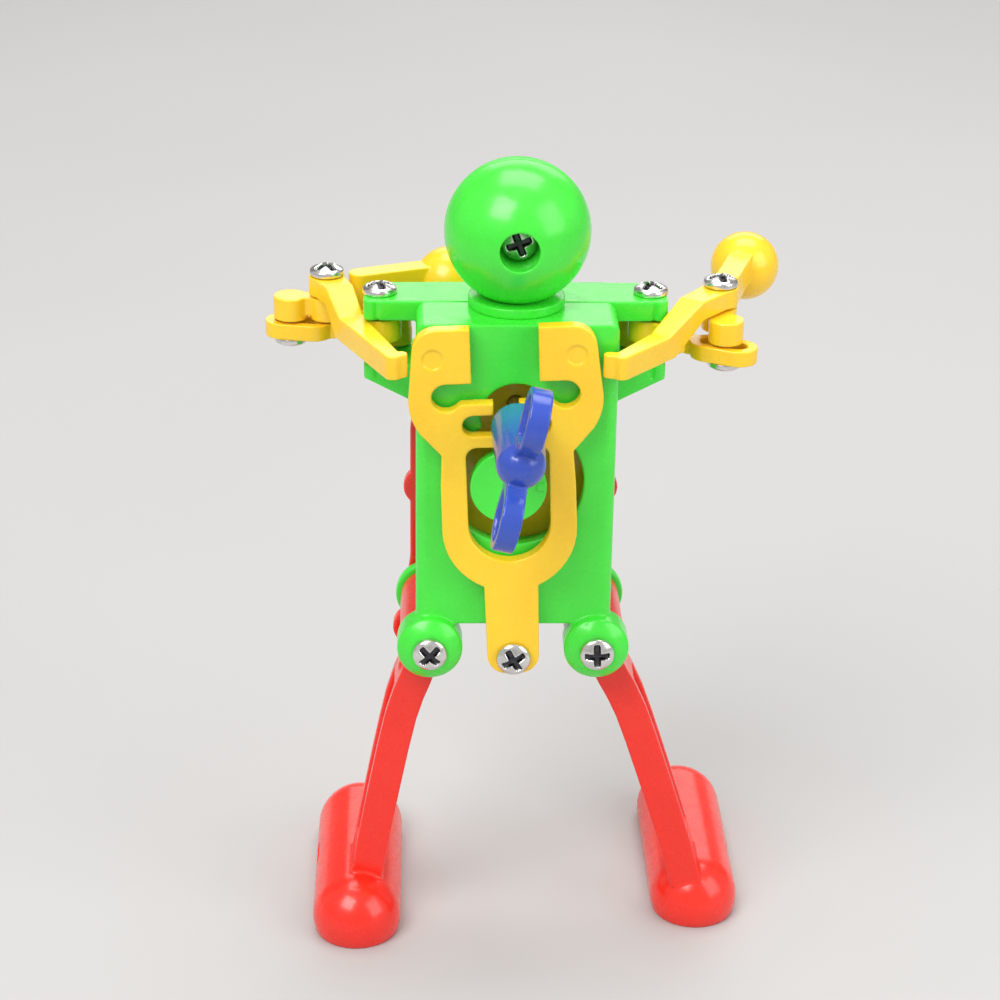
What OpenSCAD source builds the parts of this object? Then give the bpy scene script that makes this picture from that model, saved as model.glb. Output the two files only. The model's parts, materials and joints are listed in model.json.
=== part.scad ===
// Wind-up dancing robot: a clockwork body that rocks two arms at the back and two legs at the front.
// +Z up, soles on z = 0, the winding key on the -Y side. The model is drawn about the body's own
// centre line (x = 0) and rear face (y = 0), and at_origin() moves it so that the middle of its box
// stands on the origin.

/* [Body] */
// Width of the body shell
body_w = 25.6; // [25:0.1:26]
// Depth of the body shell, rear face to front face
body_d = 16.3; // [16.2:0.1:16.6]
// Height of the body shell
body_h = 41.8; // [41.6:0.1:42.4]
// Height of the body's bottom edge above the floor
body_z = 48.5; // [48:0.1:49]
// Wall thickness of the shells
wall = 1.4; // [1.2:0.1:1.5]
// Radius of the body's upright edges
edge_r = 1.4; // [1:0.1:1.6]

/* [Head] */
// Radius of the ball head
head_r = 9.3; // [9:0.1:9.6]
// Radius of the screw hole in the back of the head
head_hole_r = 2.5; // [2.2:0.1:2.8]

/* [Hips and legs] */
// Half the distance between the two hip screws
hip_x = 10.95; // [10.8:0.05:11.1]
// Height of the hip screws
hip_z = 45.5; // [45:0.1:46]
// Radius of a leg's hip barrel
barrel_r = 3.95; // [3.8:0.05:4]
// Width of a foot
foot_w = 12.2; // [11.6:0.1:12.6]
// Length of a foot
foot_len = 35.5; // [34:0.1:36]
// Height of a foot
foot_h = 8.3; // [8:0.1:8.8]

/* [Arms] */
// Length from a shoulder screw to its elbow screw
upper_len = 10.1; // [10:0.05:10.2]
// Length from an elbow screw to the middle of the fist
fore_len = 17.3; // [16.8:0.1:17.5]
// Length from an elbow screw back to the link screw
tail_len = 4.8; // [4.7:0.05:4.9]
// Radius of a fist
fist_r = 4.65; // [4.4:0.05:4.8]

/* [Clockwork] */
// Throw of the two cranks
throw = 1; // [0.9:0.05:1]
// Radius of the two cam rollers
roller_r = 4.9; // [4.8:0.05:4.95]
// Gear module
tooth_m = 0.4; // [0.38:0.01:0.4]
// Thickness of the two rocker plates
plate_t = 1.9; // [1.7:0.1:1.9]

/* [Key] */
// Reach of a key wing from the winding axis
wing_reach = 10.7; // [10:0.1:11.5]
// Tilt of the key's wings from upright at rest
wing_tilt = 13; // [0:1:180]

/* [Hidden] */
$fn = 64;

// Colours of the mouldings
lime = [0.25, 0.85, 0.2];
warm_yellow = [1, 0.8, 0.15];
signal_red = [0.95, 0.18, 0.12];
key_blue = [0.2, 0.3, 0.8, 0.8];
steel = [0.75, 0.75, 0.77];
brass = [0.8, 0.65, 0.3];

body_top = body_z + body_h;
half_w = body_w / 2;
seam_y = 8.6;
fit = 0.02;        // a screw in the plastic that it clamps
run = 0.06;        // a pin in the hole that turns on it
gap = 0.25;        // faces that slide past each other
left = -1;
right = 1;

// Screws: a pan head and a plain shank
screw_r = 0.95;
screw_head_r = 2.25;
screw_head_t = 1.5;
small_head_r = 1.9;

// Head and neck
head_y = 8.1;
head_z = body_top + 9.7;
collar_t = 1.3;
collar_r = 6.2;
post_r = 2.4;
head_wall = 1.5;

// Output shaft, winding arbor and governor, all parallel to Y
output_z = 69.2;
great_teeth = 30;
pinion_teeth = 13;
wheel_teeth = 28;
governor_teeth = 8;
arbor_z = output_z + tooth_m * (great_teeth + pinion_teeth) / 2;
governor_dist = tooth_m * (wheel_teeth + governor_teeth) / 2;
governor_dir = 235;    // direction from the output shaft to the governor, seen along +Y with X right
governor_x = governor_dist * cos(governor_dir);
governor_z = output_z + governor_dist * sin(governor_dir);
arbor_r = 1;
shaft_r = 1.1;
case_y0 = 4.9;
case_y1 = 14.5;
case_split = 9.4;
case_wall = 0.8;
case_half = 10.4;
case_z0 = 56.5;
case_z1 = 86.4;

// Rocker plates
rear_plate_y = -2.4;
rear_pivot_z = 44.9;
front_plate_y = 16.8;
front_pivot_z = 50;
rear_tilt = -asin(throw / (output_z - rear_pivot_z));
window_half = roller_r + 0.37;
slot_rel = arbor_z - rear_pivot_z;
cam_rel = output_z - rear_pivot_z;
front_cam_rel = output_z - front_pivot_z;
peg_drop = 6.2;      // from the hip screw down to the peg that the front rocker holds

// Feet
foot_heel_y = [-3.9, 0.9];
foot_x = [-21, 26.4];
peg_x = 13.3;
// Middle line of a leg standing straight, outwards positive, and the sway both legs rest at
leg_points = [[hip_x, hip_z], [12.7, 40.2], [15.4, 33.8], [18.5, 22.5], [21.1, 12], [22.6, 5]];
sway = -3.5;
leg_y0 = 2.8;
leg_depth = 7.6;
barrel_y1 = 14.6;

// Arm pivots of the two sides, in the side's own mirrored frame, outwards positive
shoulder = [17.45, 11.95];
link_pivot = [15.3, 16.6];
arm_angle = [45.6, 20.7];      // from straight out sideways towards the front
fore_angle = [159.2, 72.5];    // direction of the forearm
tail_bend = 22.5;              // the tail leans off the forearm's line by this much
lever_tip = [[15.65, -2.35], [12.9, -2.2]];
finger_tip = [[14.6, -1.9], [11.4, -1.9]];
arm_rise = [[14.4, 18.6], [8.6, 15.8]];    // where the bar of an upper arm starts and stops rising
web_at = [13, 12];                         // where the web from the hub joins the bar
lug_top_z = 87.6;
lug_low_z = 81.5;
link_z = 81.8;
link_t = 2.1;
link_slot = [11.2, 15.2];
link_half = 2.5;
fore_z = 84.2;
fore_t = 3.1;
hub_z = 84.2;
hub_t = 3.1;
lever_z = 84.2;
lever_t = 3.1;
plate_z = 87.6;
elbow_plate_t = 2.5;
bar_z = 86.2;
bar_t = 3.8;
link_boss_z = 86.2;
fist_z = 87.2;

function elbow(i) = shoulder + upper_len * [cos(arm_angle[i]), sin(arm_angle[i])];
function fist(i) = elbow(i) + fore_len * [cos(fore_angle[i]), sin(fore_angle[i])];
function tail(i) = elbow(i) - tail_len * [cos(fore_angle[i] + tail_bend), sin(fore_angle[i] + tail_bend)];
function link_angle(i) = let (d = tail(i) - link_pivot) atan2(d[1], d[0]);

// The middle of the whole toy's box, seen from above
box_left = link_pivot[0] + link_slot[1] * cos(link_angle(0)) + link_half;
box_right = fist(1)[0] + fist_r;
box_back = -20.5;
box_front = fist(1)[1] + fist_r;
middle = [(box_right - box_left) / 2, (box_back + box_front) / 2];

module at_origin() { translate([-middle[0], -middle[1], 0]) children(); }

// A cylinder along +Y
module rod(x, z, y0, y1, r) { translate([x, y0, z]) rotate([-90, 0, 0]) cylinder(r = r, h = y1 - y0); }

// A flat shape drawn in x and z, given its thickness along Y
module plate(y0, t) { translate([0, y0 + t, 0]) rotate([90, 0, 0]) linear_extrude(t) children(); }

// A bar between two points, with round ends
module bar2d(a, b, w) {
    run_len = norm(b - a);
    turn = atan2(b[1] - a[1], b[0] - a[0]);
    translate(a) rotate(turn) {
        translate([0, -w / 2]) square([run_len, w]);
        circle(d = w);
        translate([run_len, 0]) circle(d = w);
    }
}

// A bar whose width runs from wa to wb
module taper2d(a, b, wa, wb) {
    side = (b - a) / norm(b - a);
    across = [-side[1], side[0]];
    polygon([a + across * wa / 2, b + across * wb / 2, b - across * wb / 2, a - across * wa / 2]);
    translate(a) circle(d = wa);
    translate(b) circle(d = wb);
}

module rounded2d(w, h, r) {
    translate([-w / 2, r]) square([w, h - 2 * r]);
    translate([-w / 2 + r, 0]) square([w - 2 * r, h]);
    for (x = [-w / 2 + r, w / 2 - r], z = [r, h - r]) translate([x, z]) circle(r);
}

// Points of an arc, for outlines
function arc(c, r, a0, a1, n) = [for (i = [0 : n]) let (a = a0 + (a1 - a0) * i / n) c + r * [cos(a), sin(a)]];

// A screw along +Y whose head's underside is at y
module screw_y(x, z, y, length, head = screw_head_r, high = screw_head_t) {
    dome = (head * head + 0.4) / high;
    rod(x, z, y - fit, y + length, screw_r);
    difference() {
        translate([x, y, z]) rotate([90, 0, 0]) intersection() {
            cylinder(r = head, h = high + 0.1);
            translate([0, 0, high - dome]) sphere(r = dome);
        }
        for (turn = [0, 90]) translate([x, y - high, z]) rotate([0, 45 + turn, 0])
            cube([1.36 * head, 1.3, 0.26 * head], center = true);
    }
}

// A screw along -Z (way = 1) or +Z (way = -1) whose head's underside is at z
module screw_z(p, z, length, way, head = screw_head_r, high = screw_head_t) {
    translate([p[0], p[1], z]) rotate([way > 0 ? 90 : -90, 0, 0]) rotate([180, 0, 0])
        screw_y(0, 0, 0, length, head, high);
}

// Gear teeth: the flanks lean so that meshing teeth clear each other
tooth_shape = [[-0.27, -1.2], [-0.18, 0], [-0.09, 0.75], [0.09, 0.75], [0.18, 0], [0.27, -1.2]];
function tooth(i, teeth, m, phase) = let (step = 360 / teeth, a = phase + i * step)
    [for (k = tooth_shape) (teeth * m / 2 + k[1] * m) * [cos(a + k[0] * step), sin(a + k[0] * step)]];

module gear2d(teeth, m, phase) {
    polygon([for (i = [0 : teeth - 1]) each tooth(i, teeth, m, phase)]);
}

module gear(x, z, y0, t, teeth, phase, bore) {
    difference() {
        plate(y0, t) translate([x, z]) gear2d(teeth, tooth_m, phase);
        rod(x, z, y0 - 1, y0 + t + 1, bore);
    }
}

// Phase of a gear that meshes with another one, whose tooth stands at angle start
function meshed(dir, start, driver, driven) = dir + 180 + 180 / driven - (start - dir) * driver / driven;
pinion_phase = meshed(270, 270, great_teeth, pinion_teeth);
governor_phase = meshed(governor_dir, governor_dir, wheel_teeth, governor_teeth);

// ---- Body shells ----

module body_block(shrink) {
    w = body_w - 2 * shrink;
    d = body_d - 2 * shrink;
    h = body_h - 2 * shrink;
    r = max(edge_r - shrink / 2, 0.5);
    intersection() {
        translate([0, shrink, body_z + shrink]) linear_extrude(h) rounded2d(w, d, r);
        plate(shrink, d) translate([0, body_z + shrink]) rounded2d(w, h, r);
    }
}

module opening2d(grow) {
    translate([0, output_z - 0.3]) circle(8.7 + grow);
    translate([0, arbor_z]) circle(4.6 + grow);
}

module hip_barrel_room() {
    for (side = [left, right]) rod(side * hip_x, hip_z, leg_y0 - gap, barrel_y1 + gap, barrel_r + 0.4);
}

module rear_lug(x) {
    difference() {
        union() {
            rod(x, hip_z, 0, leg_y0 - gap, 4.3);
            translate([x, 0, hip_z]) rotate([90, 0, 0]) intersection() {
                cylinder(r = 4.3, h = 2.4);
                translate([0, 0, -3]) sphere(r = 6);
            }
        }
        rod(x, hip_z, -3, -2.4, 3);
    }
}

module rear_cover() {
    color(lime) at_origin() difference() {
        union() {
            intersection() {
                difference() {
                    body_block(0);
                    body_block(wall);
                }
                translate([-20, -1, 0]) cube([40, seam_y + 1 - fit, 120]);
            }
            plate(wall - fit, case_y0 - wall) difference() {
                opening2d(2.2);
                opening2d(1.2);
            }
            for (side = [left, right]) {
                rear_lug(side * hip_x);
                rod(side * 9.2, body_z + 4.3, wall - fit, seam_y, 2);
            }
            translate([-2.5, 0, rear_pivot_z - 2]) cube([5, 6.5, body_z - rear_pivot_z + 3.4]);
        }
        plate(-1, case_y0 + 1) opening2d(0);
        hip_barrel_room();
        for (side = [left, right]) {
            rod(side * hip_x, hip_z, -4, leg_y0 + 1, screw_r + fit);
            rod(side * 9.2, body_z + 4.3, 4, seam_y + 1, screw_r + fit);
        }
        rod(0, rear_pivot_z, -1, 5, screw_r + fit);
        translate([0, head_y, body_top - 3]) cylinder(r = post_r + fit, h = 4);
        translate([0, head_y, body_top - wall - 1.7]) cylinder(r = 3.7, h = 1.7 + fit);
    }
}

module shoulder_lug2d(front) {
    translate([half_w - 1, seam_y]) square([6.75 - 1, front - seam_y]);
    translate([half_w, seam_y + 1]) square([6.75, front - seam_y - 2]);
    for (y = [seam_y + 1, front - 1]) translate([half_w + 5.75, y]) circle(1);
}

module shoulder_lugs() {
    translate([0, 0, lug_top_z]) linear_extrude(body_top - lug_top_z) shoulder_lug2d(16.2);
    translate([0, 0, lug_low_z - 2]) linear_extrude(2) shoulder_lug2d(18.6);
    plate(seam_y, 5.6) polygon([[half_w - 1, 75.8], [half_w + 0.1, 76.3], [half_w + 6.4, lug_low_z - 1.9],
        [half_w - 1, lug_low_z - 1.9]]);
}

module front_shell() {
    color(lime) at_origin() difference() {
        union() {
            intersection() {
                difference() {
                    body_block(0);
                    body_block(wall);
                }
                translate([-20, seam_y, 0]) cube([40, 20, 120]);
            }
            for (side = [left, right]) {
                rod(side * hip_x, hip_z, barrel_y1 + gap, body_d, 4.6);
                rod(side * 9.2, body_z + 4.3, seam_y, body_d - 0.5, 2);
            }
            shoulder_lugs();
            mirror([1, 0, 0]) shoulder_lugs();
            rod(0, front_pivot_z, 11, front_plate_y - gap, 2.2);
            for (side = [left, right]) translate([side * 7 - 0.6, case_y1 + fit, 60])
                cube([1.2, body_d - wall - case_y1 + 0.1, 22]);
        }
        hip_barrel_room();
        rod(0, output_z, body_d - 3, body_d + 1, 4.2);
        rod(0, front_pivot_z, 10, front_plate_y, screw_r + fit);
        for (side = [left, right]) {
            rod(side * hip_x, hip_z, barrel_y1, body_d - 0.3, screw_r + fit);
            rod(side * 9.2, body_z + 4.3, seam_y - 1, body_d + 1, screw_r + fit);
            rod(side * 9.2, body_z + 4.3, body_d - 1.15, body_d + 1, small_head_r + fit);
            translate([side * shoulder[0], shoulder[1], 70]) cylinder(r = screw_r + fit, h = 30);
            translate([side * link_pivot[0], link_pivot[1], 76]) cylinder(r = screw_r + fit, h = 8);
        }
        translate([0, head_y, body_top - 3]) cylinder(r = post_r + fit, h = 4);
        translate([0, head_y, body_top - wall - 1.7]) cylinder(r = 3.7, h = 1.7 + fit);
    }
}

// ---- Head ----

module neck_post() {
    color(lime) at_origin() difference() {
        union() {
            translate([0, head_y, body_top - wall - 1.6]) cylinder(r = 3.6, h = 1.6);
            translate([0, head_y, body_top - wall - 1.6]) cylinder(r = post_r, h = head_z + 3 - body_top + wall + 1.6);
            translate([0, head_y, body_top]) cylinder(r = collar_r, h = collar_t);
        }
        rod(0, head_z, head_y - 4, head_y + 4, screw_r + fit);
    }
}

module head_shell() {
    difference() {
        translate([0, head_y, head_z]) sphere(r = head_r);
        translate([0, head_y, head_z]) sphere(r = head_r - head_wall);
        translate([-10, head_y - 10, body_top - 5]) cube([20, 20, 5 + collar_t + fit]);
        translate([0, head_y, body_top]) cylinder(r = post_r + 2 * fit, h = 4);
    }
}

module head_back() {
    color(lime) at_origin() difference() {
        union() {
            intersection() {
                head_shell();
                translate([-10, head_y - 10, 80]) cube([20, 10 - fit, 40]);
            }
            intersection() {
                rod(0, head_z, head_y - 10, head_y - post_r - 0.3, head_hole_r + 1.2);
                translate([0, head_y, head_z]) sphere(r = head_r - 0.2);
            }
        }
        rod(0, head_z, head_y - 11, head_y - 4.4, head_hole_r);
        rod(0, head_z, head_y - 6, head_y, screw_r + fit);
    }
}

module head_front() {
    eye_y = head_y + sqrt(head_r * head_r - 3.4 * 3.4 - 2 * 2) - 0.7;
    color(lime) at_origin() difference() {
        union() {
            intersection() {
                head_shell();
                translate([-10, head_y, 80]) cube([20, 10, 40]);
            }
            rod(0, head_z, head_y + post_r + 0.3, head_y + head_r - 1, 2.2);
        }
        rod(0, head_z, head_y, head_y + 6.3, screw_r + fit);
        for (side = [left, right]) rod(side * 3.4, head_z + 2, eye_y, eye_y + 4, 1.6);
        translate([-2.6, head_y + head_r - 1.1, head_z - 4.2]) cube([5.2, 3, 0.9]);
    }
}

module head_screw() {
    color(steel) at_origin() screw_y(0, head_z, head_y - 4.4, 10.6);
}

// ---- Clockwork motor ----

module case_block(y0, y1, shrink) {
    plate(y0, y1 - y0) translate([0, case_z0 + shrink]) rounded2d(2 * (case_half - shrink), case_z1 - case_z0 - 2 * shrink, 1.5);
}

module case_holes() {
    rod(0, arbor_z, 0, 20, arbor_r + run);
    rod(0, output_z, 0, 20, shaft_r + run);
    rod(governor_x, governor_z, case_y0 + 0.4, case_y1 - 0.4, 0.6 + run);
    rod(pallet_x, pallet_z, case_y0 + 0.4, case_y1 - 0.4, 0.6 + run);
}

module case_posts(y0, y1) {
    for (side = [left, right]) rod(side * 8.2, case_z0 + 2.4, y0, y1, 1.7);
}

module motor_case_rear() {
    color(warm_yellow) at_origin() difference() {
        union() {
            difference() {
                case_block(case_y0, case_split - fit, 0);
                case_block(case_y0 + case_wall, case_split + 1, case_wall);
            }
            case_posts(case_y0, case_split - fit);
        }
        case_holes();
        for (side = [left, right]) rod(side * 8.2, case_z0 + 2.4, case_y0 - 1, case_split + 1, screw_r + fit);
    }
}

module motor_case_front() {
    color(warm_yellow) at_origin() difference() {
        union() {
            difference() {
                case_block(case_split, case_y1, 0);
                case_block(case_split - 1, case_y1 - case_wall, case_wall);
            }
            case_posts(case_split, case_y1);
        }
        case_holes();
        for (side = [left, right]) rod(side * 8.2, case_z0 + 2.4, case_split - 1, case_y1 - 0.5, screw_r + fit);
    }
}

module motor_screws() {
    color(steel) at_origin() for (side = [left, right]) screw_y(side * 8.2, case_z0 + 2.4, case_y0, 8.6, small_head_r, 1.1);
}

// A spring strip wound from the arbor out to the case
spring_turns = 4.5;
spring_in = 1.9;
spring_out = 6.6;
function coil(a) = spring_in + (spring_out - spring_in) * a / (360 * spring_turns);
module mainspring() {
    strip = 0.3;
    steps = 90;
    turns = [for (i = [0 : steps]) 360 * spring_turns * i / steps];
    color(steel) at_origin() plate(9.9, 3.2) translate([0, arbor_z]) polygon(concat(
        [for (a = turns) coil(a) * [cos(a), sin(a)]],
        [for (i = [steps : -1 : 0]) (coil(turns[i]) + strip) * [cos(turns[i]), sin(turns[i])]]));
}

module great_wheel() {
    color(brass) at_origin() gear(0, arbor_z, 6.2, 1.2, great_teeth, 270, arbor_r + fit);
}

module winding_arbor() {
    color(steel) at_origin() {
        rod(0, arbor_z, -14.5, case_y1 + 0.2, arbor_r);
        rod(0, arbor_z, 9.6, 13.3, 1.6);
    }
}

module output_shaft() {
    color(steel) at_origin() rod(0, output_z, 2, 16.2, shaft_r);
}

module output_pinion() {
    color(brass) at_origin() gear(0, output_z, 6.1, 1.5, pinion_teeth, pinion_phase, shaft_r + fit);
}

module output_wheel() {
    color(brass) at_origin() gear(0, output_z, 8, 1, wheel_teeth, governor_dir, shaft_r + fit);
}

module crank(y0, y1, pin_y0, pin_y1, dir) {
    difference() {
        union() {
            rod(0, output_z, y0, y1, 3.2);
            rod(throw * cos(dir), output_z + throw * sin(dir), pin_y0, pin_y1, 0.8);
        }
        rod(0, output_z, 2, 16.2, shaft_r + fit);
    }
}

module rear_crank() {
    color(lime) at_origin() crank(0.1, case_y0 - gap, -1.3, 0.2, 180);
}

module front_crank() {
    color(lime) at_origin() crank(case_y1 + gap, 16.3, 16.2, 17.7, 90);
}

module governor_arbor() {
    color(steel) at_origin() rod(governor_x, governor_z, case_y0 + 0.5, case_y1 - 0.5, 0.6);
}

module governor_pinion() {
    color(brass) at_origin() gear(governor_x, governor_z, 7.8, 1.4, governor_teeth, governor_phase, 0.6 + fit);
}

escape_r = 3.2;
pallet_x = governor_x + 5.2;
pallet_z = governor_z - 2.6;
module escape_wheel() {
    teeth = 12;
    step = 360 / teeth;
    color(brass) at_origin() difference() {
        plate(10.4, 0.8) translate([governor_x, governor_z])
            polygon([for (i = [0 : teeth - 1]) each [2.4 * [cos(i * step), sin(i * step)],
                escape_r * [cos(i * step + 5), sin(i * step + 5)],
                escape_r * [cos(i * step + 9), sin(i * step + 9)],
                2.4 * [cos(i * step + 14), sin(i * step + 14)]]]);
        rod(governor_x, governor_z, 10, 12, 0.6 + fit);
    }
}

module pallet_lever() {
    reach = [governor_x - pallet_x, governor_z - pallet_z];
    along = atan2(reach[1], reach[0]);
    color(steel) at_origin() {
        rod(pallet_x, pallet_z, case_y0 + 0.5, case_y1 - 0.5, 0.6);
        plate(10.3, 1) translate([pallet_x, pallet_z]) {
            circle(1.2);
            for (side = [left, right]) bar2d([0, 0], 4.3 * [cos(along + side * 44), sin(along + side * 44)], 0.8);
        }
    }
}

module case_screws() {
    color(steel) at_origin() for (side = [left, right])
        translate([0, body_d, 0]) mirror([0, 1, 0]) screw_y(side * 9.2, body_z + 4.3, 1.15, 10.6, small_head_r, 1.1);
}

module hip_screws() {
    color(steel) at_origin() for (side = [left, right]) screw_y(side * hip_x, hip_z, -2.4, 18.3);
}

module shoulder_screws() {
    color(steel) at_origin() for (side = [left, right]) screw_z(side_point(side, shoulder), body_top, 10.6, 1);
}

module link_pivot_screws() {
    color(steel) at_origin() for (side = [left, right])
        screw_z(side_point(side, link_pivot), lug_low_z - 2, 5.9, -1, small_head_r, 1.1);
}

module rear_rocker_screw() {
    color(steel) at_origin() screw_y(0, rear_pivot_z, rear_plate_y - 0.1, 7.3);
}

module front_rocker_screw() {
    color(steel) at_origin() translate([0, front_plate_y + plate_t + 0.1, 0]) mirror([0, 1, 0])
        screw_y(0, front_pivot_z, 0, 8.5);
}

// ---- Key ----

wing_y = -16.5;
module winding_key() {
    hub_y0 = -3;
    hub_y1 = -17.5;
    color(key_blue) at_origin() difference() {
        union() {
            translate([0, hub_y0, arbor_z]) rotate([90, 0, 0]) cylinder(r1 = 3.4, r2 = 3.05, h = hub_y0 - hub_y1 - 2.4);
            translate([0, hub_y1 + 2.4, arbor_z]) rotate([90, 0, 0]) intersection() {
                cylinder(r = 3.05, h = 2.5);
                translate([0, 0, -0.7]) sphere(r = 3.13);
            }
            translate([0, 0, arbor_z]) rotate([0, wing_tilt, 0]) key_wings();
        }
        rod(0, arbor_z, -14.6, 0, arbor_r + fit);
    }
}

module wing2d(shrink) {
    r = 4 - shrink;
    top = wing_reach - 4;
    translate([wing_y, top]) circle(r);
    polygon([[wing_y + r, top], [wing_y + r - 0.7, 1.5 + 2 * shrink], [wing_y + 0.2, 1.5 + 2 * shrink],
        [wing_y - r + 0.9, 4.4 + shrink / 2], [wing_y - r, top]]);
}

module key_wings() {
    for (way = [0, 180]) rotate([0, way, 0]) difference() {
        translate([-1.3, 0, 0]) rotate([90, 0, 90]) linear_extrude(2.6) wing2d(0);
        for (face = [0.8, -2.8]) translate([face, 0, 0]) rotate([90, 0, 90]) linear_extrude(2) wing2d(1.1);
    }
}

// ---- Rockers and their rollers ----

// Half of the rear rocker's edge, up from the pivot, for x > 0
function rocker_side() = concat(
    arc([0.8, 0.1], 2.6, 270, 360, 6),
    arc([-0.3, 18.4], 8.95, 295.2, 360, 8),
    [[8.6, 24.6], [8.35, 29]],
    arc([4.95, 36.2], 7.3, 325, 368, 8),
    arc([8.6, 42.9], 3, 0, 90, 6));

module rocker_outline2d() {
    half = rocker_side();
    count = len(half);
    polygon(concat(half, [for (i = [count - 1 : -1 : 0]) [-half[i][0], half[i][1]]]));
}

module cam_window2d(bottom, top) {
    translate([-window_half, bottom + window_half]) square([2 * window_half, top - bottom - window_half - 1.4]);
    translate([-window_half + 1.4, top - 2]) square([2 * window_half - 2.8, 2]);
    for (x = [-window_half + 1.4, window_half - 1.4]) translate([x, top - 1.4]) circle(1.4);
    translate([0, bottom + window_half]) circle(window_half);
}

module rear_rocker2d() {
    difference() {
        rocker_outline2d();
        circle(screw_r + run);
        cam_window2d(13.9, 29.9);
        bar2d([-4.2, slot_rel], [4.2, slot_rel], 2.8);
        translate([-4.28, 35.9]) square([8.56, 12]);
        for (side = [left, right]) {
            translate([side * 7.5, 36.8]) circle(1.85);
            bar2d([side * 7.5, 37.15], [side * 3.8, 37.15], 3);
        }
        translate([-1.6, slot_rel]) square([3.2, 5]);
    }
    for (side = [left, right]) bar2d([side * 2.4, slot_rel + 2.2], [side * 5.4, slot_rel + 2.2], 1.6);
}

module rocked(tilt, pivot_z) { translate([0, 0, pivot_z]) rotate([0, tilt, 0]) children(); }

module rear_rocker() {
    color(warm_yellow) at_origin() rocked(rear_tilt, rear_pivot_z) difference() {
        plate(rear_plate_y, plate_t) rear_rocker2d();
        for (side = [left, right]) rod(side * 9, 42, rear_plate_y - 1, rear_plate_y + 0.2, 1.3);
    }
}

module cam_roller(y0, cap_at_back) {
    difference() {
        rod(0, 0, y0, y0 + plate_t, roller_r);
        rod(0, 0, cap_at_back ? y0 + 0.85 : y0 - 1, cap_at_back ? y0 + plate_t + 1 : y0 + plate_t - 0.85, 3.6);
    }
}

module rear_cam_roller() {
    color(lime) at_origin() rocked(rear_tilt, rear_pivot_z) translate([0, 0, cam_rel]) {
        cam_roller(rear_plate_y, true);
        translate([roller_r - 1.3, rear_plate_y - 0.3, -0.55]) cube([1.1, 0.8, 1.1]);
    }
}

module front_rocker2d() {
    ear = front_pivot_z - hip_z + peg_drop;
    arch = [0, front_cam_rel + 2];
    difference() {
        union() {
            translate([0, -3]) rounded2d(27.2, 25.6, 3.5);
            translate(arch) circle(window_half + 2.6);
            for (side = [left, right]) {
                translate([side * 11.9, 10.6]) circle(2.6);
                bar2d([side * 11.8, 0], [side * peg_x, -ear - 1.1], 3.6);
                translate([side * peg_x, -ear]) circle(2.7);
            }
        }
        circle(screw_r + run);
        bar2d([0, 8.8 + window_half], arch, 2 * window_half);
        for (side = [left, right]) {
            translate([side * 9.4 - 1.6, 7.5]) square([3.2, 10]);
            translate([side * peg_x, -ear]) bar2d([0, -0.8], [0, 0.8], 2.3);
        }
    }
}

module front_rocker() {
    color(signal_red) at_origin() rocked(0, front_pivot_z) plate(front_plate_y, plate_t) front_rocker2d();
}

module front_cam_roller() {
    color(lime) at_origin() translate([0, 0, output_z + throw]) cam_roller(front_plate_y, false);
}

// ---- Legs ----

// A smooth curve through the leg's points; t runs from 0 at the hip to 5 at the ankle
function leg_point(k) = leg_points[min(max(k, 0), 5)];
function leg_line(t) = let (k = min(floor(t), 4), u = t - k, a = leg_point(k - 1), b = leg_point(k),
    c = leg_point(k + 1), d = leg_point(k + 2))
    ((2 * b) + (c - a) * u + (2 * a - 5 * b + 4 * c - d) * u * u + (3 * b - a - 3 * c + d) * u * u * u) / 2;
function leg_edge(t, off) = let (d = leg_line(t + 0.01) - leg_line(t - 0.01)) leg_line(t) + off * [-d[1], d[0]] / norm(d);

module leg_strip2d(off0, off1, t0, t1) {
    steps = 12;
    polygon(concat(
        [for (k = [0 : steps]) leg_edge(t0 + (t1 - t0) * k / steps, off0)],
        [for (k = [steps : -1 : 0]) leg_edge(t0 + (t1 - t0) * k / steps, off1)]));
}

module foot(i) {
    r = foot_w / 2;
    heel = foot_heel_y[i];
    intersection() {
        translate([foot_x[i], 0, foot_h - r]) {
            rod(0, 0, heel + r, heel + foot_len - r, r);
            for (y = [heel + r, heel + foot_len - r]) translate([0, y, 0]) sphere(r = r);
        }
        translate([foot_x[i] - 10, -10, 0]) cube([20, 60, 20]);
    }
}

// The bar is drawn on the right, mirrored for the left leg, and swayed about its hip
module swayed(side) {
    translate([side * hip_x, 0, hip_z]) rotate([0, sway, 0]) translate([-side * hip_x, 0, -hip_z])
        if (side < 0) mirror([1, 0, 0]) children(); else children();
}

module leg(i) {
    side = 2 * i - 1;
    peg = [side * peg_x, hip_z - peg_drop];
    difference() {
        union() {
            rod(side * hip_x, hip_z, leg_y0, barrel_y1, barrel_r);
            swayed(side) plate(leg_y0, leg_depth) leg_strip2d(-2.15, 2.15, 0, 4.9);
            rod(peg[0], peg[1], leg_y0 + 2, 14.4, 1.9);
            rod(peg[0], peg[1], leg_y0 + 2, front_plate_y + plate_t, 1);
            foot(i);
        }
        rod(side * hip_x, hip_z, leg_y0 - 1, barrel_y1 + 1, screw_r + run);
        swayed(side) plate(leg_y0 + 1.5, leg_depth - 3) leg_strip2d(1.1, 3.5, 1.6, 4);
        translate([foot_x[i] + side * (foot_w / 2 - 0.3), 15, 3.6]) cube([1.4, 4.4, 1.1], center = true);
    }
}

module left_leg() { color(signal_red) at_origin() leg(0); }
module right_leg() { color(signal_red) at_origin() leg(1); }

// ---- Arms: each is drawn on the right in its mirrored frame, i = 0 for the left arm ----

function side_point(side, p) = [side * p[0], p[1]];

module mirrored(i) { if (i == 0) mirror([1, 0, 0]) children(); else children(); }

module layer(z, t) { translate([0, 0, z]) linear_extrude(t) children(); }

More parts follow.
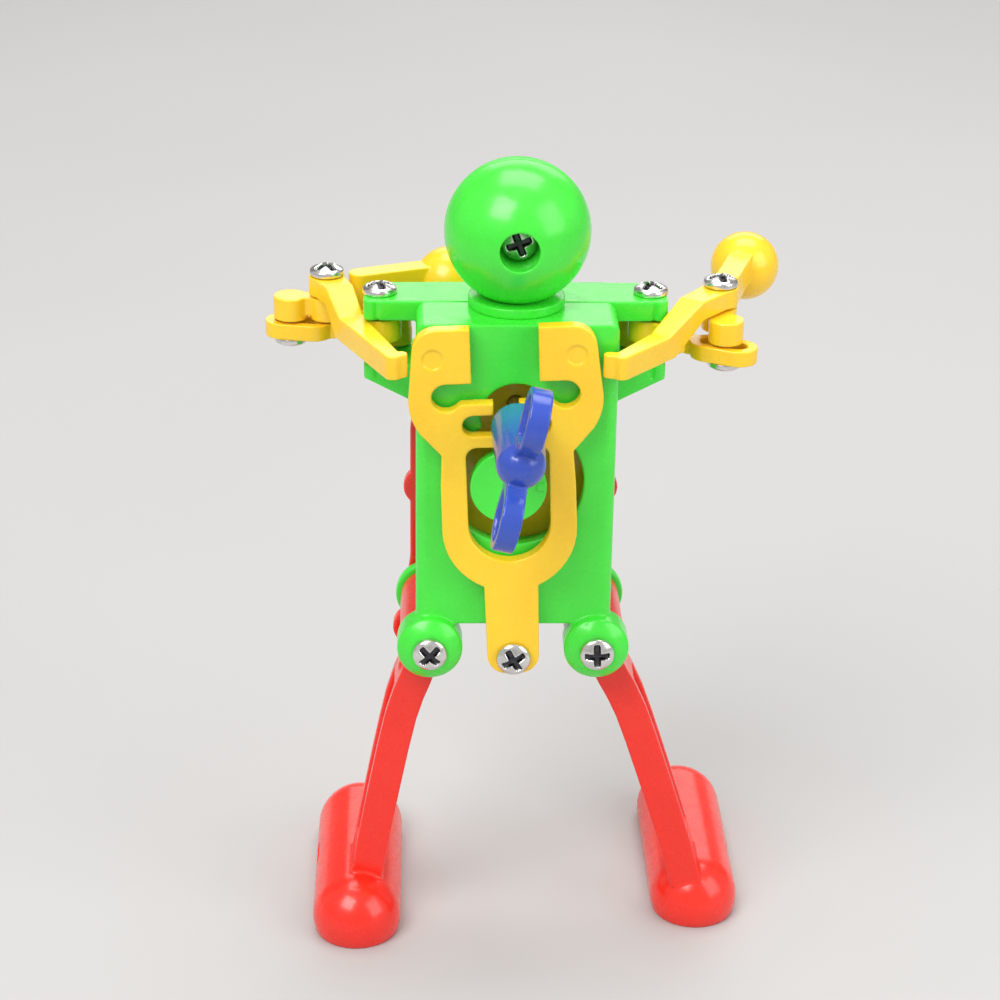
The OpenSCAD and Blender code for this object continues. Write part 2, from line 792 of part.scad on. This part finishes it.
module hole(p, z, t, r) { translate([p[0], p[1], z - 1]) cylinder(r = r, h = t + 2); }

// One straight bar from the finger up to the elbow, with a web to the shoulder hub
module upper_arm(i) {
    tip = lever_tip[i];
    bar = elbow(i) - tip;
    reach = norm(bar);
    low = arm_rise[i][0];
    high = arm_rise[i][1];
    plate_top = plate_z + elbow_plate_t;
    mirrored(i) difference() {
        union() {
            intersection() {
                translate([tip[0], tip[1], 0]) rotate([90, 0, atan2(bar[1], bar[0])]) translate([0, 0, -4])
                    linear_extrude(8) polygon([[-3, lever_z], [low + 1.5, lever_z], [high + 0.4, plate_z], [reach + 4, plate_z],
                        [reach + 4, plate_top], [high, plate_top], [low, lever_z + lever_t], [-3, lever_z + lever_t]]);
                layer(lever_z - 1, 9) taper2d(tip, elbow(i), 2.1, 4.2);
            }
            layer(plate_z, elbow_plate_t) translate(elbow(i)) circle(2.4);
            layer(lever_z, lever_t) bar2d(tip, finger_tip[i], 1.6);
            layer(hub_z, hub_t) {
                translate(shoulder) circle(2.8);
                bar2d(shoulder, tip + web_at[i] * bar / reach, 2.8);
            }
        }
        hole(shoulder, hub_z, hub_t, screw_r + run);
        hole(elbow(i), plate_z, elbow_plate_t, screw_r + run);
    }
}

module forearm(i) {
    along = (fist(i) - elbow(i)) / fore_len;
    mirrored(i) difference() {
        union() {
            layer(fore_z, fore_t) {
                translate(elbow(i)) circle(2.3);
                translate(tail(i)) circle(2.3);
            }
            layer(fore_z + 0.6, fore_t - 0.6) {
                bar2d(tail(i), elbow(i), 2.6);
                bar2d(elbow(i), elbow(i) + 5.2 * along, 2.8);
            }
            layer(bar_z, bar_t) bar2d(elbow(i) + 4.7 * along, fist(i) - 3 * along, 3.2);
            translate([fist(i)[0], fist(i)[1], fist_z]) sphere(r = fist_r);
        }
        hole(elbow(i), fore_z, fore_t, screw_r + fit);
        hole(tail(i), fore_z, 0.8, screw_r + fit);
    }
}

module link(i) {
    mirrored(i) difference() {
        translate([link_pivot[0], link_pivot[1], 0]) rotate(link_angle(i)) {
            layer(link_z, link_boss_z - link_z) circle(1.9);
            layer(link_z, link_t) difference() {
                union() {
                    circle(2);
                    bar2d([0, 0], [4.4, 1.1], 2.4);
                    bar2d([4.4, 1.1], [link_slot[0], 0], 2.4);
                    bar2d([link_slot[0], 0], [link_slot[1], 0], 2 * link_half);
                }
                bar2d([link_slot[0], 0], [link_slot[1], 0], 2.3);
            }
        }
        translate([link_pivot[0], link_pivot[1], link_z - 1]) cylinder(r = screw_r + run, h = 4.8);
    }
}

module elbow_screw(i) { mirrored(i) screw_z(elbow(i), plate_z + elbow_plate_t + 0.1, 5.9, 1); }
module link_screw(i) { mirrored(i) screw_z(tail(i), link_z - 0.1, 4.2, -1); }

module left_upper_arm() { color(warm_yellow) at_origin() upper_arm(0); }
module right_upper_arm() { color(warm_yellow) at_origin() upper_arm(1); }
module left_forearm() { color(warm_yellow) at_origin() forearm(0); }
module right_forearm() { color(warm_yellow) at_origin() forearm(1); }
module left_link() { color(warm_yellow) at_origin() link(0); }
module right_link() { color(warm_yellow) at_origin() link(1); }
module left_elbow_screw() { color(steel) at_origin() elbow_screw(0); }
module right_elbow_screw() { color(steel) at_origin() elbow_screw(1); }
module left_link_screw() { color(steel) at_origin() link_screw(0); }
module right_link_screw() { color(steel) at_origin() link_screw(1); }

rear_cover();
front_shell();
neck_post();
head_back();
head_front();
head_screw();
motor_case_rear();
motor_case_front();
motor_screws();
mainspring();
case_screws();
hip_screws();
shoulder_screws();
link_pivot_screws();
rear_rocker_screw();
front_rocker_screw();
winding_key();
winding_arbor();
great_wheel();
output_shaft();
output_pinion();
output_wheel();
rear_crank();
front_crank();
governor_arbor();
governor_pinion();
escape_wheel();
pallet_lever();
rear_rocker();
rear_cam_roller();
front_rocker();
front_cam_roller();
left_leg();
right_leg();
left_upper_arm();
left_forearm();
left_link();
left_elbow_screw();
left_link_screw();
right_upper_arm();
right_forearm();
right_link();
right_elbow_screw();
right_link_screw();
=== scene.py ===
"""Looks of the wind-up robot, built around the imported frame.

The mouldings are made from their CAD solids with every edge rounded, the screws are turned here in
mesh code, and the parts of the clockwork are shown as the CAD has them. Each rides its CAD body.
"""
import json
import math

import bpy
import bmesh
from mathutils import Matrix, Vector

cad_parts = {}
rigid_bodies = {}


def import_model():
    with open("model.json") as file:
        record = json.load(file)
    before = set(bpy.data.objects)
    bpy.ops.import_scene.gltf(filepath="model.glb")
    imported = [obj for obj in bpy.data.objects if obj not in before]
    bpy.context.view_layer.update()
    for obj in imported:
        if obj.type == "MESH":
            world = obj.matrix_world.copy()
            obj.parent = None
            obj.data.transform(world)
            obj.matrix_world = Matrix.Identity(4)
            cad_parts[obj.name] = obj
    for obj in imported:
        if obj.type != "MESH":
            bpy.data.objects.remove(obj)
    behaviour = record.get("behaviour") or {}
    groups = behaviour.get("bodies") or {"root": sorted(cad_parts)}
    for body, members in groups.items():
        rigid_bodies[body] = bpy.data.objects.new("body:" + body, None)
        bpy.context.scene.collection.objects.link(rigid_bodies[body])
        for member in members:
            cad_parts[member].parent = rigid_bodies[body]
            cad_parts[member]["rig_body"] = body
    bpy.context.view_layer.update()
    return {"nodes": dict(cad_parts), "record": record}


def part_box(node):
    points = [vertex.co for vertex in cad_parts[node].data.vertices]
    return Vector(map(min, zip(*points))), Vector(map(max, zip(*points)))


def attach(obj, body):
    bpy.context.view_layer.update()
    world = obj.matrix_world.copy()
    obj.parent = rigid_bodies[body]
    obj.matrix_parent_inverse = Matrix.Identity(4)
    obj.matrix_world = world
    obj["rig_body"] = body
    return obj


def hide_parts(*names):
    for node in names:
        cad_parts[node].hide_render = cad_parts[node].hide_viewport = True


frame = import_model()

NODES = frame["nodes"]
MM = 0.001
BODY_OF = {n: o["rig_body"] for n, o in NODES.items()}
SLOT_OF = {s["node"]: s["material_slot"] for s in frame["record"]["subparts"]}


# ---- Camera, at the photograph's viewing angle ----

# Turned right, tipped down and rolled, in degrees
VIEW_ANGLES = (1.925, 24.452, 0.877)
# From the middle of the body's rear face, at floor level, in metres
VIEW_PLACE = (-0.0119, -0.29498, 0.20063)
LENS, SENSOR = 90.912, 36
HIP_LUG_STAND = 0.0024


def camera():
    low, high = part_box("rear_cover")
    centre_x = (low[0] + high[0]) / 2
    rear_y = low[1] + HIP_LUG_STAND
    yaw, pitch, roll = (math.radians(a) for a in VIEW_ANGLES)
    ahead = Vector((math.sin(yaw) * math.cos(pitch), math.cos(yaw) * math.cos(pitch), -math.sin(pitch)))
    flat_right = Vector((math.cos(yaw), -math.sin(yaw), 0))
    flat_up = flat_right.cross(ahead)
    right = math.cos(roll) * flat_right + math.sin(roll) * flat_up
    up = -math.sin(roll) * flat_right + math.cos(roll) * flat_up
    data = bpy.data.cameras.new("camera")
    data.lens = LENS
    data.sensor_width = SENSOR
    data.clip_start = 0.01
    data.clip_end = 20
    cam = bpy.data.objects.new("camera", data)
    bpy.context.scene.collection.objects.link(cam)
    matrix = Matrix((right, up, -ahead)).transposed().to_4x4()
    matrix.translation = Vector((centre_x, rear_y, 0)) + Vector(VIEW_PLACE)
    cam.matrix_world = matrix
    bpy.context.scene.camera = cam


camera()


# ---- Materials ----

class Nodes:
    """A small hand for building a node tree."""

    def __init__(self, name):
        self.material = bpy.data.materials.new(name)
        self.material.use_nodes = True
        self.tree = self.material.node_tree
        self.shader = self.tree.nodes["Principled BSDF"]
        self.coords = self.tree.nodes.new("ShaderNodeTexCoord").outputs["Object"]

    def add(self, kind, **sockets):
        node = self.tree.nodes.new(kind)
        for key, value in sockets.items():
            name = key.replace("_", " ")
            if isinstance(value, bpy.types.NodeSocket):
                self.tree.links.new(value, node.inputs[name])
            else:
                node.inputs[name].default_value = value
        return node

    def noise(self, scale, detail=3, rough=0.5):
        node = self.add("ShaderNodeTexNoise", Vector=self.coords, Scale=scale, Detail=detail, Roughness=rough)
        return node.outputs["Fac"]

    def ramp(self, source, low, high, start=0.3, end=0.7):
        node = self.add("ShaderNodeMapRange", Value=source)
        limits = {"From Min": start, "From Max": end, "To Min": low, "To Max": high}
        for name, value in limits.items():
            node.inputs[name].default_value = value
        return node.outputs["Result"]

    def mix(self, factor, a, b):
        node = self.tree.nodes.new("ShaderNodeMix")
        node.data_type = "RGBA"
        self.tree.links.new(factor, node.inputs["Factor"])
        node.inputs["A"].default_value = (*a, 1)
        node.inputs["B"].default_value = (*b, 1)
        return node.outputs["Result"]

    def link(self, source, socket):
        self.tree.links.new(source, self.shader.inputs[socket])

    def bump(self, height, strength, distance):
        node = self.add("ShaderNodeBump", Strength=strength, Distance=distance, Height=height)
        self.link(node.outputs["Normal"], "Normal")

    def set(self, **sockets):
        for key, value in sockets.items():
            self.shader.inputs[key.replace("_", " ")].default_value = value


def plastic(name, colour, deep, rough=0.24, glow=0.12, radius=(1, 1, 1)):
    """Glossy moulded plastic: faint flow clouds in the colour, a slightly uneven polish and fine scratches."""
    n = Nodes(name)
    flow = n.ramp(n.noise(130, 4, 0.6), 0, 1, 0.3, 0.75)
    n.link(n.mix(flow, deep, colour), "Base Color")
    n.link(n.ramp(n.noise(420, 5, 0.65), rough - 0.05, rough + 0.1), "Roughness")
    n.bump(n.noise(260, 2, 0.4), 0.12, 0.0002)
    n.set(Subsurface_Weight=glow, Subsurface_Radius=radius, Subsurface_Scale=0.0012, IOR=1.5,
          Coat_Weight=0.25, Coat_Roughness=0.12)
    return n.material


def metal(name, colour, dark, rough, scale=900):
    n = Nodes(name)
    n.link(n.mix(n.ramp(n.noise(scale, 4, 0.6), 0, 1), dark, colour), "Base Color")
    n.link(n.ramp(n.noise(scale * 2, 3, 0.6), rough - 0.06, rough + 0.1), "Roughness")
    n.bump(n.noise(scale * 3, 2, 0.5), 0.06, 0.00005)
    n.set(Metallic=1.0)
    return n.material


# Where the key's colour runs from blue at its blades to teal at its foot, along the row frame's Y
KEY_BLUE_Y, KEY_TEAL_Y = -0.0185, -0.0095


def key_blue():
    """See-through moulding whose colour runs along the key, with a cloudy edge between the two blues."""
    n = Nodes("key_plastic")
    along = n.add("ShaderNodeSeparateXYZ", Vector=n.coords).outputs["Y"]
    cloudy = n.tree.nodes.new("ShaderNodeMath")
    cloudy.operation = "MULTIPLY_ADD"
    n.tree.links.new(n.noise(160, 3, 0.55), cloudy.inputs[0])
    cloudy.inputs[1].default_value = 0.004
    n.tree.links.new(along, cloudy.inputs[2])
    teal = n.ramp(cloudy.outputs[0], 0, 1, KEY_BLUE_Y, KEY_TEAL_Y)
    n.link(n.mix(teal, (0.045, 0.11, 0.62), (0.05, 0.33, 0.55)), "Base Color")
    n.link(n.ramp(n.noise(380, 4, 0.6), 0.16, 0.3), "Roughness")
    n.bump(n.noise(300, 2, 0.5), 0.15, 0.0002)
    n.set(Subsurface_Weight=0.25, Subsurface_Radius=(0.2, 0.5, 1), Subsurface_Scale=0.002, IOR=1.5,
          Transmission_Weight=0.3, Coat_Weight=0.3, Coat_Roughness=0.1)
    return n.material


MATERIALS = {
    "green_plastic": plastic("green_plastic", (0.06, 0.80, 0.05), (0.05, 0.73, 0.04),
                             radius=(0.3, 1, 0.3)),
    "yellow_plastic": plastic("yellow_plastic", (1.0, 0.66, 0.02), (0.97, 0.58, 0.014),
                             radius=(1, 0.7, 0.2)),
    "red_plastic": plastic("red_plastic", (0.9, 0.024, 0.009), (0.83, 0.018, 0.007),
                             radius=(1, 0.2, 0.15)),
    "key_plastic": key_blue(),
    "screw_steel": metal("screw_steel", (0.8, 0.79, 0.77), (0.62, 0.61, 0.6), 0.2),
    "bright_steel": metal("bright_steel", (0.62, 0.62, 0.63), (0.5, 0.5, 0.51), 0.3),
    # Painted shade: near-black steel laid on the faces inside the screws' cross recesses, standing in for the
    # shade that falls in them
    "recess": metal("recess", (0.09, 0.09, 0.1), (0.05, 0.05, 0.055), 0.35),
    "gear_brass": metal("gear_brass", (0.83, 0.6, 0.24), (0.68, 0.46, 0.16), 0.28),
}


def paint(obj, slot):
    obj.data.materials.clear()
    obj.data.materials.append(MATERIALS[slot])


# ---- Making pieces from the frame's own solids ----

def new_object(name, mesh):
    obj = bpy.data.objects.new(name, mesh)
    bpy.context.scene.collection.objects.link(obj)
    return obj


def settled(obj):
    """The object's mesh with its modifiers applied."""
    graph = bpy.context.evaluated_depsgraph_get()
    graph.update()
    mesh = bpy.data.meshes.new_from_object(
        obj.evaluated_get(graph), preserve_all_data_layers=False, depsgraph=graph)
    old = obj.data
    obj.modifiers.clear()
    obj.data = mesh
    bpy.data.meshes.remove(old)
    return obj


def soften(obj, voxel, rounds, keep):
    """Rounds every edge as a mould does: remesh in millimetres, relax, then thin out the mesh."""
    remesh = obj.modifiers.new("remesh", "REMESH")
    remesh.mode = "VOXEL"
    remesh.voxel_size = voxel
    relax = obj.modifiers.new("relax", "SMOOTH")
    relax.factor = 0.5
    relax.iterations = rounds
    thin = obj.modifiers.new("thin", "DECIMATE")
    thin.ratio = keep
    settled(obj)
    obj.data.polygons.foreach_set("use_smooth", [True] * len(obj.data.polygons))


def finish_piece(obj, node, *more):
    paint(obj, SLOT_OF[node])
    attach(obj, BODY_OF[node])
    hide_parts(node, *more)
    return obj


def moulded(node, voxel=0.15, rounds=6, keep=0.3):
    mesh = NODES[node].data.copy()
    mesh.transform(Matrix.Scale(1000, 4))
    obj = new_object(node + "_moulding", mesh)
    soften(obj, voxel, rounds, keep)
    obj.data.transform(Matrix.Scale(MM, 4))
    return finish_piece(obj, node)


# node: voxel size of the remesh in millimetres, rounds of relaxing, and the share of faces kept
MOULDINGS = {
    "rear_cover": (0.16, 7, 0.25),
    "front_shell": (0.16, 7, 0.25),
    "neck_post": (0.14, 10, 0.3),
    "head_back": (0.15, 6, 0.3),
    "head_front": (0.16, 6, 0.3),
    "motor_case_rear": (0.16, 5, 0.25),
    "motor_case_front": (0.18, 5, 0.25),
    "winding_key": (0.1, 24, 0.3),
    "rear_crank": (0.1, 5, 0.3),
    "front_crank": (0.1, 5, 0.3),
    "rear_rocker": (0.1, 14, 0.3),
    "rear_cam_roller": (0.09, 9, 0.3),
    "front_rocker": (0.13, 9, 0.3),
    "front_cam_roller": (0.1, 6, 0.3),
    "left_leg": (0.15, 12, 0.3),
    "right_leg": (0.15, 12, 0.3),
    "left_upper_arm": (0.1, 14, 0.3),
    "right_upper_arm": (0.1, 14, 0.3),
    "left_forearm": (0.11, 14, 0.25),
    "right_forearm": (0.11, 14, 0.25),
    "left_link": (0.1, 10, 0.3),
    "right_link": (0.1, 10, 0.3),
}
for node, recipe in MOULDINGS.items():
    moulded(node, *recipe)


# ---- Screws: domed head with a Phillips recess, and a threaded shank ----

HEAD_T, SMALL_HEAD_T = 1.5, 1.1
THREAD_PITCH, THREAD_DEPTH = 0.9, 0.16
SHANK_R, TIP_SHARE, TIP_LENGTH = 0.93, 0.35, 1.4
AROUND = 64
TOP_STEPS, TOP_RINGS = 26, 23


def step_between(value, low, high):
    t = min(max((value - low) / (high - low), 0.0), 1.0)
    return t * t * (3 - 2 * t)


def recess_depth(x, y, head_r):
    """How far the cross recess goes down at a point of the head's top."""
    reach, half, slope = 0.7 * head_r, 0.125 * head_r, 0.1 * head_r
    deepest = 0.46 * head_r
    depth = 0.0
    for along, across in ((abs(x), abs(y)), (abs(y), abs(x))):
        wall = step_between(half + slope - across, 0, slope)
        end = step_between(reach + slope - along, 0, 2 * slope)
        depth = max(depth, wall * end * (1.0 - 0.5 * along / reach))
    return deepest * depth


def is_recess(ring, k, head_r, turn):
    """Whether the head's face between two rings and two angles lies in the recess."""
    radius = head_r * (ring + 1.5) / TOP_STEPS
    angle = math.tau * (k + 0.5) / AROUND - turn
    return recess_depth(radius * math.cos(angle), radius * math.sin(angle), head_r) > 0.1 * head_r


def screw_rings(length, head_r, head_t, turn):
    """Rings of (x, y, z) in millimetres: the head's underside at z = 0, the head above it."""
    angles = [math.tau * k / AROUND for k in range(AROUND)]
    dome = (head_r * head_r + 0.4) / head_t
    rings = []
    for step in range(1, TOP_RINGS + 1):
        r = head_r * step / TOP_STEPS
        height = math.sqrt(dome * dome - r * r) + head_t - dome
        ring = []
        for a in angles:
            sink = recess_depth(r * math.cos(a - turn), r * math.sin(a - turn), head_r)
            ring.append((r * math.cos(a), r * math.sin(a), height - sink))
        rings.append(ring)
    edge = rings[-1][0][2]
    rim = [(0.93 * head_r, edge - 0.07), (0.972 * head_r, edge - 0.17), (0.995 * head_r, edge - 0.33),
           (head_r, 0.24), (0.985 * head_r, 0.1), (0.95 * head_r, 0.02), (0.9 * head_r, 0.0), (1.0, 0.0)]
    rings += [[(r * math.cos(a), r * math.sin(a), z) for a in angles] for r, z in rim]
    steps = max(int(length / THREAD_PITCH * 4), 8)
    for k in range(1, steps):
        z = -length * k / steps
        taper = min(1.0, (length + z) / TIP_LENGTH)
        started = step_between(-z, 1.0, 1.6)
        ring = []
        for a in angles:
            crest = abs(2 * ((z / THREAD_PITCH + a / math.tau) % 1.0) - 1)
            cut = started * THREAD_DEPTH * (1 - crest * crest)
            r = (SHANK_R - cut) * (TIP_SHARE + (1 - TIP_SHARE) * taper)
            ring.append((r * math.cos(a), r * math.sin(a), z))
        rings.append(ring)
    return rings, head_t - recess_depth(0, 0, head_r), -length


def add_screw(bm, place, way, length, head_r, head_t, turn):
    """way is the direction the head faces."""
    rings, middle, tip = screw_rings(length, head_r, head_t, turn)
    matrix = Matrix.Translation(place) @ Vector(way).to_track_quat("Z", "Y").to_matrix().to_4x4()

    def put(point):
        return bm.verts.new(matrix @ (Vector(point) * MM))

    rows = [[put(point) for point in ring] for ring in rings]
    first, last = put((0, 0, middle)), put((0, 0, tip))
    # Slot 1 is the near-black steel that paints the shade in the cross recess: the centre of the head's top
    # and the faces inside the recess take it
    for k in range(AROUND):
        m = (k + 1) % AROUND
        bm.faces.new((first, rows[0][k], rows[0][m])).material_index = 1
        bm.faces.new((last, rows[-1][m], rows[-1][k]))
        for ring, (upper, lower) in enumerate(zip(rows, rows[1:])):
            face = bm.faces.new((upper[k], lower[k], lower[m], upper[m]))
            if ring < TOP_RINGS - 1 and is_recess(ring, k, head_r, turn):
                face.material_index = 1


# node: axis of the screws, direction their heads face, and the turn of each recess in degrees
SCREWS = {
    "hip_screws": (1, -1, (45, 2)),
    "rear_rocker_screw": (1, -1, (30,)),
    "head_screw": (1, -1, (20,)),
    "motor_screws": (1, -1, (10, 60)),
    "case_screws": (1, 1, (35, 80)),
    "front_rocker_screw": (1, 1, (50,)),
    "shoulder_screws": (2, 1, (12, 55)),
    "link_pivot_screws": (2, -1, (0, 40)),
    "left_elbow_screw": (2, 1, (38,)),
    "right_elbow_screw": (2, 1, (8,)),
    "left_link_screw": (2, -1, (25,)),
    "right_link_screw": (2, -1, (70,)),
}
SMALL_HEADS = ("motor_screws", "case_screws", "link_pivot_screws")


def screws(node):
    axis, faces, turns = SCREWS[node]
    points = [v.co.copy() for v in NODES[node].data.vertices]
    if len(turns) == 2:
        middle = sum(p.x for p in points) / len(points)
        groups = [[p for p in points if p.x < middle], [p for p in points if p.x >= middle]]
    else:
        groups = [points]
    head_t = SMALL_HEAD_T if node in SMALL_HEADS else HEAD_T
    bm = bmesh.new()
    for group, turn in zip(groups, turns):
        low = [min(p[k] for p in group) for k in range(3)]
        high = [max(p[k] for p in group) for k in range(3)]
        place = [(a + b) / 2 for a, b in zip(low, high)]
        place[axis] = high[axis] - head_t * MM if faces > 0 else low[axis] + head_t * MM
        way = [0, 0, 0]
        way[axis] = faces
        length = (high[axis] - low[axis]) / MM - head_t
        head_r = (high[0] - low[0]) / 2 / MM - 0.005
        add_screw(bm, place, way, length - 0.01, head_r, head_t - 0.01, math.radians(turn))
    bmesh.ops.recalc_face_normals(bm, faces=bm.faces)
    mesh = bpy.data.meshes.new(node + "_turned")
    bm.to_mesh(mesh)
    bm.free()
    mesh.polygons.foreach_set("use_smooth", [True] * len(mesh.polygons))
    slots = [poly.material_index for poly in mesh.polygons]
    piece = finish_piece(new_object(node + "_turned", mesh), node)
    # The second slot is the near-black steel that paints the shade in the recesses
    piece.data.materials.append(MATERIALS["recess"])
    piece.data.polygons.foreach_set("material_index", slots)


for node in SCREWS:
    screws(node)
for node, obj in NODES.items():
    if node not in MOULDINGS and node not in SCREWS:
        paint(obj, SLOT_OF[node])


# ---- Floor and light ----

FLOOR_DARK, FLOOR_LIGHT = (0.46, 0.455, 0.45), (0.5, 0.495, 0.49)


def stage():
    n = Nodes("floor")
    n.link(n.mix(n.ramp(n.noise(3, 2, 0.5), 0, 1), FLOOR_DARK, FLOOR_LIGHT), "Base Color")
    n.set(Roughness=0.6)
    side, back, bend = 3.0, 1.6, 0.5
    profile = [(-3.0, 0.0), (back - bend, 0.0)]
    profile += [(back - bend + bend * math.sin(a), bend - bend * math.cos(a))
                for a in (math.radians(k * 10) for k in range(1, 10))]
    profile += [(back, 3.0)]
    verts, faces = [], []
    for y, z in profile:
        verts += [(-side, y, z), (side, y, z)]
    for i in range(len(profile) - 1):
        faces.append((2 * i, 2 * i + 1, 2 * i + 3, 2 * i + 2))
    mesh = bpy.data.meshes.new("floor")
    mesh.from_pydata(verts, [], faces)
    mesh.polygons.foreach_set("use_smooth", [True] * len(mesh.polygons))
    floor = new_object("floor", mesh)
    floor.data.materials.append(n.material)


def area_light(name, place, target, size, power, colour=(1, 1, 1)):
    data = bpy.data.lights.new(name, "AREA")
    data.shape = "RECTANGLE"
    data.size, data.size_y = size
    data.energy = power
    data.color = colour
    light = bpy.data.objects.new(name, data)
    bpy.context.scene.collection.objects.link(light)
    light.location = place
    light.rotation_euler = (Vector(target) - Vector(place)).to_track_quat("-Z", "Y").to_euler()


stage()
MIDDLE = (0, 0, 0.06)
area_light("key_light", (-0.35, -0.45, 0.75), MIDDLE, (0.5, 0.5), 5.4)
area_light("fill_light", (0.6, -0.35, 0.45), MIDDLE, (0.5, 0.6), 2.3)
area_light("top_light", (0.05, 0.25, 0.9), MIDDLE, (0.7, 0.5), 4.2)
area_light("back_light", (0.1, 0.8, 0.5), MIDDLE, (0.8, 0.4), 1.6)
world = bpy.data.worlds.new("studio")
world.use_nodes = True
world.node_tree.nodes["Background"].inputs["Color"].default_value = (1.0, 0.985, 0.965, 1)
world.node_tree.nodes["Background"].inputs["Strength"].default_value = 0.6
bpy.context.scene.world = world
bpy.context.scene.view_settings.view_transform = "Standard"
